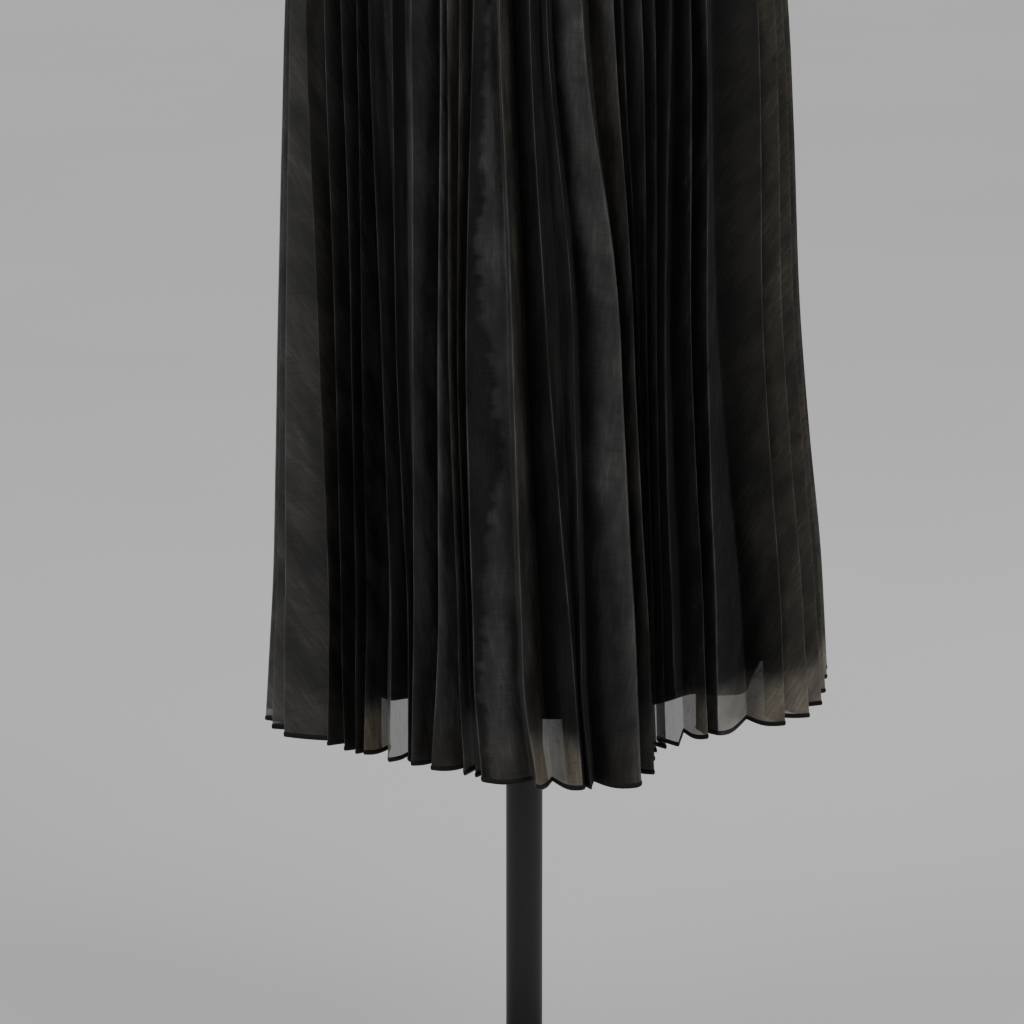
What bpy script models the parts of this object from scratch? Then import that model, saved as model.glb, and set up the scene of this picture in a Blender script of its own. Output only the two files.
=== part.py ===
"""Pleated maxi skirt standing on a limbless dress form, as solids.

Metres, +Z up, the skirt's front toward -Y, the stand's foot on Z = 0 with its pole on the Z axis.
Lengths in the tables below are in millimetres and angles in degrees. A place round the skirt is an
angle on its oval section, 0 at the front and 90 at the wearer's left, which is +X.
"""

import math
import random
from collections import namedtuple

import bmesh
import bpy

MM = 0.001

WAIST_HEIGHT = 1380.0
SKIRT_LENGTH = 980.0
PLEAT_WALL = 1.0
LINING_WALL = 1.2
BAND_WALL = 3.0
BAND_HEIGHT = 38.0
SEAM_GAP = 0.3
FOLD_FLAT = 2.0
BACK_FOLDS = 29
BACK_SEED = 27
FLANK_AT_HEM = 44.0

POLE_DIAMETER = 35.0
POLE_SIDES = 32

# The oval that the outer folds of the skirt touch, from the waist seam down.
# below: under the waist seam; centre: its middle in X; half_wide, half_deep: its half sizes;
# fold: how deep a full pleat is there; spread: share of the hem's unevenness that has come in.
Level = namedtuple("Level", "below centre half_wide half_deep fold spread")
SKIRT_LEVELS = (
    Level(0, 0, 134, 106.5, 1.2, 0.00),
    Level(26, 0, 146, 120, 5, 0.00),
    Level(70, 1, 169, 140, 10, 0.02),
    Level(130, 3, 195, 161, 16, 0.05),
    Level(200, 6, 214, 177, 21, 0.10),
    Level(280, 10, 231, 190, 26, 0.16),
    Level(420, 12, 238, 208, 31, 0.28),
    Level(580, 13, 244, 226, 35, 0.45),
    Level(730, 17, 252, 240, 38, 0.65),
    Level(870, 21, 261, 254, 40, 0.85),
    Level(980, 21, 268, 262, 42, 1.00),
)
HIP, KNEE, SHIN, HEM = 280.0, 580.0, 870.0, 980.0

# The outer folds that the photo shows, from its left side to its right.
# hip, knee, shin, hem: place round the skirt at those levels; out: how far it stands off the oval
# at the hem; deep: depth of the inner fold that follows it, at the hem; lean: where that inner fold
# lies between this outer fold and the next; rise: how far the hem is drawn up there.
Fold = namedtuple("Fold", "hip knee shin hem out deep lean rise")
SHOWN_FOLDS = (
    Fold(-84.5, -87.5, -87.5, -87.0, 0, 38, 0.50, -6),
    Fold(-80.5, -81.0, -80.0, -77.0, -2, 34, 0.50, -2),
    Fold(-76.5, -75.5, -72.5, -69.0, -4, 32, 0.78, 0),
    Fold(-66.3, -59.0, -54.8, -54.0, -16, 34, 0.35, 6),
    Fold(-57.3, -52.4, -50.6, -48.6, -18, 34, 0.30, 6),
    Fold(-50.6, -46.6, -46.0, -45.1, -18, 28, 0.50, 6),
    Fold(-45.2, -43.4, -43.0, -43.1, -20, 32, 0.12, 7),
    Fold(-41.4, -37.5, -35.7, -35.5, -18, 22, 0.25, 6),
    Fold(-34.8, -34.1, -32.5, -32.2, -28, 10, 0.50, 7),
    Fold(-29.4, -28.9, -29.7, -29.7, -16, 26, 0.72, 7),
    Fold(-22.0, -22.6, -23.6, -24.6, -12, 22, 0.80, 7),
    Fold(-20.3, -19.9, -18.6, -17.0, -8, 28, 0.50, 6),
    Fold(-17.2, -18.0, -16.5, -14.7, -8, 26, 0.50, 5),
    Fold(-14.0, -15.7, -15.0, -12.9, 0, 18, 0.88, 4),
    Fold(-8.2, -5.7, -5.0, -2.0, 4, 27, 0.34, 0),
    Fold(-1.5, 1.7, 5.0, 6.8, 4, 8, 0.50, -1),
    Fold(2.2, 7.1, 6.5, 8.2, 4, 24, 0.16, -1),
    Fold(10.2, 17.2, 17.5, 18.0, 4, 30, 0.30, -1),
    Fold(17.3, 20.4, 20.8, 21.3, -2, 32, 0.50, 7),
    Fold(19.3, 21.9, 22.0, 22.5, -14, 32, 0.50, 16),
    Fold(24.4, 24.3, 23.2, 23.8, -22, 28, 0.50, 21),
    Fold(27.6, 26.6, 25.4, 25.8, -20, 28, 0.50, 24),
    Fold(32.0, 28.9, 28.0, 29.0, -22, 32, 0.88, 24),
    Fold(37.4, 36.0, 36.3, 37.2, -24, 30, 0.90, 26),
    Fold(42.4, 41.0, 40.3, 40.5, -26, 28, 0.92, 26),
    Fold(60.5, 58.0, 57.6, 57.4, -6, 36, 0.60, 24),
    Fold(69.6, 66.8, 66.6, 67.4, -2, 38, 0.55, 21),
    Fold(76.0, 75.0, 74.5, 75.0, 0, 38, 0.50, 24),
    Fold(82.5, 83.0, 83.0, 84.0, -2, 36, 0.50, 25),
    Fold(89.0, 91.0, 92.0, 93.5, 1, 36, 0.50, 27),
    Fold(95.5, 99.0, 100.5, 102.0, 9, 38, 0.50, 25),
)
FRONT_PANEL_FOLDS = 29

# The lining: a plain flared underskirt in soft waves.
# below: under the waist seam; centre: its middle in X; half_wide, half_deep; wave: height of a wave.
LiningLevel = namedtuple("LiningLevel", "below centre half_wide half_deep wave")
LINING_LEVELS = (
    LiningLevel(0, 0, 131.1, 103.6, 0.0),
    LiningLevel(8, 0, 131.6, 104.0, 0.0),
    LiningLevel(40, 0, 140.2, 107.6, 0.0),
    LiningLevel(90, 0, 156.2, 115.2, 0.0),
    LiningLevel(150, 0, 167.3, 119.8, 0.2),
    LiningLevel(210, 0, 170.8, 121.2, 0.6),
    LiningLevel(300, 1, 173.5, 129, 1.0),
    LiningLevel(500, 5, 183, 151, 2.0),
    LiningLevel(720, 10, 195, 174, 3.0),
    LiningLevel(930, 15, 207, 196, 4.0),
)
LINING_WAVES = 11
LINING_COLUMNS = 36

# The dress form: a smooth general figure without limbs.
# above: over the waist seam; half_wide, half_deep.
FormLevel = namedtuple("FormLevel", "above half_wide half_deep")
FORM_LEVELS = (
    FormLevel(-290, 138, 92),
    FormLevel(-284, 151, 103),
    FormLevel(-262, 161, 111),
    FormLevel(-210, 168, 118),
    FormLevel(-150, 165, 117.5),
    FormLevel(-90, 154, 113),
    FormLevel(-40, 138, 105.5),
    FormLevel(-8, 130, 102.5),
    FormLevel(46, 130, 102.5),
    FormLevel(100, 136, 105),
    FormLevel(170, 146, 109),
    FormLevel(240, 153, 110),
    FormLevel(300, 156, 102),
    FormLevel(335, 152, 90),
    FormLevel(356, 138, 79),
    FormLevel(370, 112, 69),
    FormLevel(382, 84, 61),
    FormLevel(398, 65, 57),
    FormLevel(436, 57, 55),
)
FORM_COLUMNS = 36

# Turned pieces, each a profile of radius and height from its own underside.
Step = namedtuple("Step", "radius height")
BASE_PROFILE = (Step(168, 0), Step(170, 2), Step(170, 9), Step(167, 12))
FOOT_PROFILE = (Step(38, 0), Step(38, 16), Step(34, 20))
FLANGE_PROFILE = (Step(30, 0), Step(46, 4), Step(46, 12))
CAP_PROFILE = (Step(52, 0), Step(58, 3), Step(58, 9), Step(48, 14), Step(22, 17))
FOOT_BORE = POLE_DIAMETER / 2 + 0.4


def back_folds(first_place, last_place):
    """The back's outer folds, between two places round the skirt, uneven in spacing and depth."""
    draw = random.Random(BACK_SEED)
    gaps = [draw.uniform(0.55, 1.45) for _ in range(BACK_FOLDS + 1)]
    span = last_place - first_place
    even = span / (BACK_FOLDS + 1)
    folds = []
    travelled = 0.0
    for index in range(BACK_FOLDS):
        travelled += gaps[index] / sum(gaps) * span
        hem = first_place + travelled
        regular = first_place + (index + 1) * even
        hip = regular + 0.45 * (hem - regular)
        knee = regular + 0.7 * (hem - regular)
        shin = regular + 0.92 * (hem - regular)
        near_side = 1.0 - min(1.0, (index + 1) / 8.0)
        out = draw.uniform(-12, 2)
        lean = draw.uniform(0.38, 0.62)
        rise = 26.0 * near_side + draw.uniform(-2, 2)
        width = 0.5 * (gaps[index] + gaps[index + 1]) / sum(gaps) * math.radians(span) * 262
        deep = min(39.0 + out, math.sqrt(FLANK_AT_HEM ** 2 - (width / 2) ** 2))
        folds.append(Fold(hip, knee, shin, hem, out, deep, lean, rise))
    return folds


def all_folds():
    """Every outer fold in order round the skirt, from the left side seam over the front to the back."""
    return list(SHOWN_FOLDS) + back_folds(SHOWN_FOLDS[-1].hem, SHOWN_FOLDS[0].hem + 360.0)


def fold_place(folds, index, below):
    """Where an outer fold stands round the skirt at a level; the pleats start evenly at the waist."""
    turns, index = divmod(index, len(folds))
    fold = folds[index]
    spacing = 360.0 / len(folds)
    waist = -90.0 + spacing * (index + 0.5)
    stops = ((0.0, waist), (0.4 * HIP, 0.5 * (waist + fold.hip)), (HIP, fold.hip),
             (KNEE, fold.knee), (SHIN, fold.shin), (HEM, fold.hem))
    place = stops[-1][1]
    for (low, start), (high, end) in zip(stops, stops[1:]):
        if below <= high:
            place = start + (end - start) * (below - low) / (high - low)
            break
    return place + 360.0 * turns


def on_oval(level, place, off):
    """Plan point at a place round a level's oval, moved out from it."""
    angle = math.radians(place)
    x = level.centre + (level.half_wide + off) * math.sin(angle)
    y = -(level.half_deep + off) * math.cos(angle)
    return x, y


def outer_point(folds, index, level):
    fold = folds[index % len(folds)]
    return on_oval(level, fold_place(folds, index, level.below), fold.out * level.spread)


def inner_point(folds, index, level):
    """The inner fold that follows an outer one."""
    fold, after = folds[index % len(folds)], folds[(index + 1) % len(folds)]
    start = fold_place(folds, index, level.below)
    end = fold_place(folds, index + 1, level.below)
    full = SKIRT_LEVELS[-1].fold
    out = 0.5 * (fold.out + after.out) * level.spread
    return on_oval(level, start + fold.lean * (end - start), out - fold.deep * level.fold / full)


def flattened(before, point, after):
    """The two ends of the narrow flat that a crease makes at its fold line."""
    dx, dy = after[0] - before[0], after[1] - before[1]
    size = math.hypot(dx, dy)
    half = min(FOLD_FLAT, 0.3 * size) / 2
    step_x, step_y = dx / size * half, dy / size * half
    return (point[0] - step_x, point[1] - step_y), (point[0] + step_x, point[1] + step_y)


def toward(start, end, share, gap):
    """A point part of the way between two, and then a gap further on."""
    size = math.dist(start, end)
    move = share + gap / size
    return start[0] + (end[0] - start[0]) * move, start[1] + (end[1] - start[1]) * move


def panel_line(folds, first, last, level):
    """Middle line of a panel at a level, from the seam before one fold to the seam after another."""
    line = []
    starts_on_outer = first < last and first == 0
    creases = []
    for index in range(first, last + 1):
        creases.append((inner_point(folds, index - 1, level), outer_point(folds, index, level),
                        inner_point(folds, index, level)))
    if starts_on_outer:
        line.append(toward(creases[0][0], creases[0][1], 0.5, SEAM_GAP / 2))
    else:
        before = outer_point(folds, first - 1, level)
        line.append(toward(before, creases[0][0], 0.5, SEAM_GAP / 2))
        line.extend(flattened(before, creases[0][0], creases[0][1]))
    for number, (low, top, next_low) in enumerate(creases):
        line.extend(flattened(low, top, next_low))
        is_last = number == len(creases) - 1
        if is_last and starts_on_outer:
            line.append(toward(top, next_low, 0.5, -SEAM_GAP / 2))
            continue
        after = outer_point(folds, first + number + 1, level)
        line.extend(flattened(top, next_low, after))
        if is_last:
            line.append(toward(next_low, after, 0.5, -SEAM_GAP / 2))
    return line


def offset_line(line, amount, closed=False):
    """A plan line moved sideways by an amount, kept parallel at its corners."""
    moved = []
    count = len(line)
    for index, point in enumerate(line):
        before = line[index - 1] if closed or index else None
        after = line[(index + 1) % count] if closed or index < count - 1 else None
        sides = []
        for start, end in ((before, point), (point, after)):
            if start is None or end is None:
                continue
            size = math.dist(start, end)
            sides.append(((end[1] - start[1]) / size, -(end[0] - start[0]) / size))
        nx = sum(side[0] for side in sides)
        ny = sum(side[1] for side in sides)
        size = math.hypot(nx, ny)
        nx, ny = nx / size, ny / size
        reach = amount / max(0.5, nx * sides[0][0] + ny * sides[0][1])
        moved.append((point[0] + nx * reach, point[1] + ny * reach))
    return moved


def panel_heights(folds, first, last, level):
    """How far each point of a panel's line is drawn up at a level."""
    starts_on_outer = first == 0
    share = (level.below / SKIRT_LENGTH) ** 2
    rises = []
    for index in range(first, last + 1):
        rise = folds[index % len(folds)].rise
        after = folds[(index + 1) % len(folds)].rise
        before = folds[(index - 1) % len(folds)].rise
        if index == first:
            rises.extend([0.5 * (before + rise)] * (1 if starts_on_outer else 3))
        rises.extend([rise] * 2)
        if index == last:
            rises.extend([0.5 * (rise + after)] * (1 if starts_on_outer else 3))
        else:
            rises.extend([0.5 * (rise + after)] * 2)
    return [rise * share for rise in rises]


def new_material(name, colour, roughness, metallic=0.0):
    material = bpy.data.materials.new(name)
    material.use_nodes = True
    shader = material.node_tree.nodes["Principled BSDF"]
    shader.inputs["Base Color"].default_value = (*colour, 1.0)
    shader.inputs["Roughness"].default_value = roughness
    shader.inputs["Metallic"].default_value = metallic
    return material


def finish_object(name, mesh_builder, material):
    """Turns a bmesh into a named object whose faces look outwards."""
    bmesh.ops.recalc_face_normals(mesh_builder, faces=mesh_builder.faces)
    mesh = bpy.data.meshes.new(name)
    mesh_builder.to_mesh(mesh)
    mesh_builder.free()
    mesh.materials.append(material)
    piece = bpy.data.objects.new(name, mesh)
    bpy.context.scene.collection.objects.link(piece)
    return piece


def vertex_rows(builder, rows):
    return [[builder.verts.new((x * MM, y * MM, z * MM)) for x, y, z in row] for row in rows]


def bridge(builder, low, high, closed):
    """Faces between two rows of vertices."""
    count = len(low)
    for index in range(count if closed else count - 1):
        after = (index + 1) % count
        builder.faces.new((low[index], low[after], high[after], high[index]))


def build_wall(name, outside, inside, material, closed=False):
    """A thin wall between two matching sets of rows, with rims at its edges."""
    builder = bmesh.new()
    outer = vertex_rows(builder, outside)
    inner = vertex_rows(builder, inside)
    for rows in (outer, inner):
        for low, high in zip(rows, rows[1:]):
            bridge(builder, low, high, closed)
    bridge(builder, outer[0], inner[0], closed)
    bridge(builder, outer[-1], inner[-1], closed)
    if not closed:
        for end in (0, -1):
            bridge(builder, [row[end] for row in outer], [row[end] for row in inner], False)
    return finish_object(name, builder, material)


def build_column(name, rows, material):
    """A solid through closed rows, with flat ends."""
    builder = bmesh.new()
    rings = vertex_rows(builder, rows)
    for low, high in zip(rings, rings[1:]):
        bridge(builder, low, high, True)
    for ring in (rings[0], rings[-1]):
        middle = [sum(vertex.co[axis] for vertex in ring) / len(ring) for axis in range(3)]
        hub = builder.verts.new(middle)
        for index, vertex in enumerate(ring):
            builder.faces.new((vertex, ring[(index + 1) % len(ring)], hub))
    return finish_object(name, builder, material)


def round_row(radius, height, sides):
    turn = 2 * math.pi / sides
    return [(radius * math.sin(turn * i), -radius * math.cos(turn * i), height) for i in range(sides)]


def oval_row(half_wide, half_deep, height, sides):
    turn = 2 * math.pi / sides
    return [(half_wide * math.sin(turn * i), -half_deep * math.cos(turn * i), height)
            for i in range(sides)]


def build_skirt_panel(name, folds, first, last, material):
    outside, inside = [], []
    for level in SKIRT_LEVELS:
        line = panel_line(folds, first, last, level)
        rises = panel_heights(folds, first, last, level)
        height = WAIST_HEIGHT - level.below
        for rows, amount in ((outside, PLEAT_WALL / 2), (inside, -PLEAT_WALL / 2)):
            moved = offset_line(line, amount)
            rows.append([(x, y, height + rise) for (x, y), rise in zip(moved, rises)])
    return build_wall(name, outside, inside, material)


def lining_line(level, start, end):
    """Middle line of a lining panel between two places round the body."""
    line = []
    for step in range(LINING_COLUMNS + 1):
        place = start + (end - start) * step / LINING_COLUMNS
        wave = level.wave * math.cos(math.radians(LINING_WAVES * place + 35.0))
        line.append(on_oval(level, place, wave))
    line[0] = toward(line[0], line[1], 0.0, SEAM_GAP / 2)
    line[-1] = toward(line[-1], line[-2], 0.0, SEAM_GAP / 2)
    return line


def build_lining_panel(name, start, end, material):
    outside, inside = [], []
    for level in LINING_LEVELS:
        line = lining_line(level, start, end)
        height = WAIST_HEIGHT - level.below
        for rows, amount in ((outside, LINING_WALL / 2), (inside, -LINING_WALL / 2)):
            rows.append([(x, y, height) for x, y in offset_line(line, amount)])
    return build_wall(name, outside, inside, material)


def build_waistband(name, material):
    """The band stands on the top edges of the skirt and the lining and lies against the form."""
    inner_gap = SEAM_GAP
    heights = [WAIST_HEIGHT + SEAM_GAP + BAND_HEIGHT * share for share in (0.0, 0.5, 1.0)]
    form = FORM_LEVELS[7]
    outside, inside = [], []
    for height, swell in zip(heights, (0.0, 0.6, 0.0)):
        reach = inner_gap + BAND_WALL + swell
        outside.append(oval_row(form.half_wide + reach, form.half_deep + reach, height, 72))
        inside.append(oval_row(form.half_wide + inner_gap, form.half_deep + inner_gap, height, 72))
    return build_wall(name, outside, inside, material, closed=True)


def build_form(name, material):
    rows = [oval_row(level.half_wide, level.half_deep, WAIST_HEIGHT + level.above, FORM_COLUMNS)
            for level in FORM_LEVELS]
    return build_column(name, rows, material)


def build_turned(name, profile, foot, material, sides=36):
    rows = [round_row(step.radius, foot + step.height, sides) for step in profile]
    return build_column(name, rows, material)


def build_collar(name, profile, foot, bore, material, sides=36):
    """A turned ring with a straight bore."""
    outside = [round_row(step.radius, foot + step.height, sides) for step in profile]
    inside = [round_row(bore, foot + step.height, sides) for step in profile]
    return build_wall(name, outside, inside, material, closed=True)


def clear_scene():
    for old in list(bpy.data.objects):
        bpy.data.objects.remove(old, do_unlink=True)


def main():
    clear_scene()
    organza = (0.018, 0.017, 0.016)
    folds = all_folds()
    last_front = FRONT_PANEL_FOLDS - 1
    build_skirt_panel("skirt_front", folds, 0, last_front,
                      new_material("organza_front", organza, 0.5))
    build_skirt_panel("skirt_back", folds, last_front + 1, len(folds) - 1,
                      new_material("organza_back", organza, 0.5))
    lining = (0.008, 0.008, 0.008)
    build_lining_panel("lining_front", -90.0, 90.0, new_material("lining_front_cloth", lining, 0.7))
    build_lining_panel("lining_back", 90.0, 270.0, new_material("lining_back_cloth", lining, 0.7))
    build_waistband("waistband", new_material("waistband_cloth", (0.012, 0.012, 0.012), 0.6))
    build_form("dress_form", new_material("form_cover", (0.52, 0.48, 0.42), 0.85))

    black_metal = (0.02, 0.02, 0.02)
    form_top = WAIST_HEIGHT + FORM_LEVELS[-1].above
    form_foot = WAIST_HEIGHT + FORM_LEVELS[0].above
    base_top = BASE_PROFILE[-1].height
    flange_foot = form_foot - SEAM_GAP - FLANGE_PROFILE[-1].height
    build_turned("neck_cap", CAP_PROFILE, form_top + SEAM_GAP, new_material("cap_metal", black_metal, 0.4))
    build_turned("form_flange", FLANGE_PROFILE, flange_foot,
                 new_material("flange_metal", black_metal, 0.4))
    pole = (Step(POLE_DIAMETER / 2, 0.0),
            Step(POLE_DIAMETER / 2, flange_foot - 2 * SEAM_GAP - base_top))
    build_turned("pole", pole, base_top + SEAM_GAP, new_material("pole_metal", black_metal, 0.4),
                 sides=POLE_SIDES)
    build_collar("pole_foot", FOOT_PROFILE, base_top + SEAM_GAP, FOOT_BORE,
                 new_material("foot_metal", black_metal, 0.4))
    build_turned("stand_base", BASE_PROFILE, 0.0, new_material("base_metal", black_metal, 0.45),
                 sides=48)


main()
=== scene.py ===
"""Pleated maxi skirt of sheer organza over a black lining, on a limbless dress form and stand.

Tables are in millimetres and degrees, meshes in metres. A place round the skirt is an angle on its
oval section, 0 at the front and 90 at the wearer's left, which is +X. Flanks are numbered from the
first outer fold: an even one runs from an outer fold to an inner one, an odd one back out.
"""

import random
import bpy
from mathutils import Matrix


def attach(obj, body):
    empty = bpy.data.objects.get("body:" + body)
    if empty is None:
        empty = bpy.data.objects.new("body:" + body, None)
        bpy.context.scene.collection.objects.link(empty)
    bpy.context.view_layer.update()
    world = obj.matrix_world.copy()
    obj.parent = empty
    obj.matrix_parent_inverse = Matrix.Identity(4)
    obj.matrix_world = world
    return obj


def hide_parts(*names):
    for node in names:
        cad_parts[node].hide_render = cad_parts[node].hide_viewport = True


bl_info = {
    "name": "Pleated maxi skirt",
    "version": (1, 0, 0),
    "blender": (4, 5, 0),
    "location": "View3D > Sidebar > Skirt",
    "description": "Builds a sheer pleated skirt, its lining, its dress form and a plain studio",
    "category": "Object",
}

from bisect import bisect_right
from collections import namedtuple
from math import acos, atan2, copysign, cos, pi, radians, sin, sqrt

import bmesh
import bpy
from bpy.props import FloatProperty, FloatVectorProperty, PointerProperty
from mathutils import Vector, noise

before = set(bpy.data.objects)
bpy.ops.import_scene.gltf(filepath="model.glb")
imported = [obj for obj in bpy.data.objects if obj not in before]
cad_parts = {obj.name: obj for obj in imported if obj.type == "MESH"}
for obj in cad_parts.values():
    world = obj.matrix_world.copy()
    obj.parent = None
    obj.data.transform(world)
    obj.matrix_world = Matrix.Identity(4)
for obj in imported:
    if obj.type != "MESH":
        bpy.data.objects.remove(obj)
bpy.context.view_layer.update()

MM = 0.001
WAIST_HEIGHT = 1380.0
SKIRT_LENGTH = 980.0
SEAM_GAP = 0.3
BACK_FOLDS = 29
BACK_SEED = 27
BACK_FOLD_DEPTH = 39.0
SIDE_RISE = 26.0
FLANK_AT_HEM = 44.0


def table(kind, *rows):
    """Rows whose columns have the names of a kind of namedtuple."""
    return tuple(kind(*row) for row in rows)


# The oval that the outer folds of the skirt touch, from the waist seam down.
# below: under the waist seam; centre: its middle in X; half_wide, half_deep: its half sizes;
# fold: how deep a full pleat is there; spread: share of the hem's unevenness that has come in.
Level = namedtuple("Level", "below centre half_wide half_deep fold spread")
SKIRT_LEVELS = table(
    Level,
    (0, 0, 134, 106.5, 1.2, 0),
    (26, 0, 146, 120, 5, 0),
    (70, 1, 169, 140, 10, 0.02),
    (130, 3, 195, 161, 16, 0.05),
    (200, 6, 214, 177, 21, 0.10),
    (280, 10, 231, 190, 26, 0.16),
    (420, 12, 238, 208, 31, 0.28),
    (580, 13, 244, 226, 35, 0.45),
    (730, 17, 252, 240, 38, 0.65),
    (870, 21, 261, 254, 40, 0.85),
    (980, 21, 268, 262, 42, 1),
)
HIP, KNEE, SHIN, HEM = 280.0, 580.0, 870.0, 980.0

# The outer folds in sight from the front, from the skirt's right side to its left.
# hip, knee, shin, hem: place round the skirt at those levels; out: how far it stands off the oval
# at the hem; deep: depth of the inner fold that follows it, at the hem; lean: where that inner fold
# lies between this outer fold and the next; rise: how far the hem is drawn up there; roll: how
# roundly the cloth turns over at the fold.
Fold = namedtuple("Fold", "hip knee shin hem out deep lean rise roll", defaults=(2.0,))
SHOWN_FOLDS = table(
    Fold,
    (-84.5, -87.5, -87.5, -87, 0, 38, 0.5, -6, 2.5),
    (-80.5, -81, -80, -77, -2, 34, 0.5, -2, 2.5),
    (-76.5, -75.5, -72.5, -69, -4, 32, 0.78, 0, 3.0),
    (-66.3, -59, -54.8, -54, -16, 34, 0.35, 6),
    (-57.3, -52.4, -50.6, -48.6, -18, 34, 0.3, 6),
    (-50.6, -46.6, -46, -45.1, -18, 28, 0.5, 6),
    (-45.2, -43.4, -43, -43.1, -20, 32, 0.12, 7),
    (-41.4, -37.5, -35.7, -35.5, -18, 22, 0.25, 6),
    (-34.8, -34.1, -32.5, -32.2, -28, 10, 0.5, 7),
    (-29.4, -28.9, -29.7, -29.7, -16, 26, 0.72, 7),
    (-22, -22.6, -23.6, -24.6, -12, 22, 0.8, 7),
    (-20.3, -19.9, -18.6, -17, -8, 28, 0.5, 6),
    (-17.2, -18, -16.5, -14.7, -8, 26, 0.5, 5),
    (-14, -15.7, -15, -12.9, 0, 18, 0.88, 4, 2.5),
    (-8.2, -5.7, -5, -2, 4, 27, 0.34, 0, 5.0),
    (-1.5, 1.7, 5, 6.8, 4, 8, 0.5, -1, 4.0),
    (2.2, 7.1, 6.5, 8.2, 4, 24, 0.16, -1, 4.0),
    (10.2, 17.2, 17.5, 18, 4, 30, 0.3, -1, 9.0),
    (17.3, 20.4, 20.8, 21.3, -2, 32, 0.5, 7, 2.5),
    (19.3, 21.9, 22, 22.5, -14, 32, 0.5, 16),
    (24.4, 24.3, 23.2, 23.8, -22, 28, 0.5, 21),
    (27.6, 26.6, 25.4, 25.8, -20, 28, 0.5, 24, 4.5),
    (32, 28.9, 28, 29, -22, 32, 0.88, 24, 2.5),
    (37.4, 36, 36.3, 37.2, -24, 30, 0.9, 26, 2.5),
    (42.4, 41, 40.3, 40.5, -26, 28, 0.92, 26, 2.5),
    (60.5, 58, 57.6, 57.4, -6, 36, 0.6, 24, 2.5),
    (69.6, 66.8, 66.6, 67.4, -2, 38, 0.55, 21, 2.5),
    (76, 75, 74.5, 75, 0, 38, 0.5, 24, 2.5),
    (82.5, 83, 83, 84, -2, 36, 0.5, 25, 2.5),
    (89, 91, 92, 93.5, 1, 36, 0.5, 27, 2.5),
    (95.5, 99, 100.5, 102, 9, 38, 0.5, 25, 2.5),
)
FRONT_PANEL_FOLDS = 29
INNER_ROLL = 2.0

# The inner fold after this outer one lies nearer to it at the hip than at the hem.
LEAN_AT_HIP = {24: 0.34}

# Where the pleat's under-layers are pressed flat against a flank in sight, so that they hide the
# light behind it: how many layers, on which flanks, and from where to where across them.
Pressed = namedtuple("Pressed", "layers flanks start end", defaults=(0.0, 1.0))
PRESSED_FLANKS = table(
    Pressed,
    (1.5, (13,)), (1.6, (45, 51, 53)), (1.8, (48, 52, *range(54, 62))), (2, (10,)), (2.1, (12,)),
    (2.4, (49,)), (3, (4, 16, 17, 35, 47)), (4, (6, 8, 30, 31, 32)),
    (5, (18, 20, 22, 24, 26, 27, 33)), (4, (28,), 0.0, 0.75), (1.8, (28,), 0.75, 1.0),
    (1.9, (29,), 0.0, 0.24), (2.1, (29,), 0.24, 0.6), (4, (29,), 0.6, 1.0),
)

# How much painted light each flank in sight gets in its colour: light, its painted light and shade,
# as a share of the cloth's own colour; warm, how much painted brown light, for the light coming
# through the layers under it, tints it; bow, how far its middle swells outwards at the hem.
Face = namedtuple("Face", "flank light warm bow", defaults=(0.0,))
FACES = table(
    Face,
    (0, 2.2, 0.2), (2, 2.0, 0.2), (4, 0.9, 0.25, 3.0), (6, 0.5, 0.5), (8, 0.5, 0.1), (10, 0.4, 0.0),
    (12, 0.6, 0.0), (14, 0.7, 0.0, 0.5), (16, 0.15, 0.0), (18, 0.6, 0.05, 1.0),
    (20, 1.15, 0.05, 1.0), (22, 1.9, 0.3), (24, 1.5, 0.5), (26, 0.64, 0.05, 1.0), (27, 1.0, 0.05),
    (28, 1.0, 0.5), (29, 0.2, 0.2), (30, 0.2, 0.3), (31, 0.2, 0.2), (32, 0.25, 0.2),
    (33, 0.8, 0.1, 4.5), (35, 0.9, 0.3), (37, 0.7, 0.1), (39, 0.8, 0.1), (41, 0.6, 0.0),
    (43, 0.4, 0.0), (44, 0.1, 0.0), (45, 0.6, 0.0), (47, 0.5, 0.1), (48, 0.25, 0.1),
    (49, 0.3, 0.5, 3.0), (51, 0.85, 0.9, 1.0), (53, 0.9, 0.9), (55, 0.9, 0.8), (57, 0.9, 0.7),
)
FACE_OF = {face.flank: face for face in FACES}

# How much lower the hem hangs in the middle of a flank than straight between its two folds. The
# cloth starts to droop at that level.
DROOP_FROM = 820.0
HEM_DROOP = {12: 2.5, 13: 3.5, 20: 2.0, 26: 2.5, 28: 3.0, 29: 3.5, 33: 2.5, 45: 3.0, 48: 5.0, 49: 3.0}

# The painted brighter part of a flank, with painted shade on the rest. hip, hem: where it starts
# across it at those levels; width: of its soft border; dark: the painted light of the rest, as a share;
# rim: the painted highlight that the far edge takes on top, down to the knee; ragged: how ragged the
# border is, in its widths.
LitPart = namedtuple("LitPart", "hip hem width dark rim ragged")
LIT_PARTS = {4: LitPart(0.3, 0.3, 0.6, 0.9, 0.0, 0.1), 26: LitPart(None, None, 0.24, 0.38, 1.6, 0.9),
             33: LitPart(-0.2, 0.75, 0.5, 0.4, 0.0, 0.1), 49: LitPart(0.5, 0.5, 0.9, 0.5, 0.0, 0.0)}
OTHER_PARTS = LitPart(0.5, 0.5, 0.3, 0.72, 0.0, 0.2)

# The middle flank's painted bright part has a border of its own. below: under the waist seam;
# start: of that part.
Border = namedtuple("Border", "below start")
MIDDLE_FLANK = 26
MIDDLE_BORDER = table(Border, (280, 0.60), (360, 0.42), (435, 0.40), (510, 0.34), (583, 0.54),
                      (666, 0.80), (758, 0.41), (850, 0.22), (935, 0.15))
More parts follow.
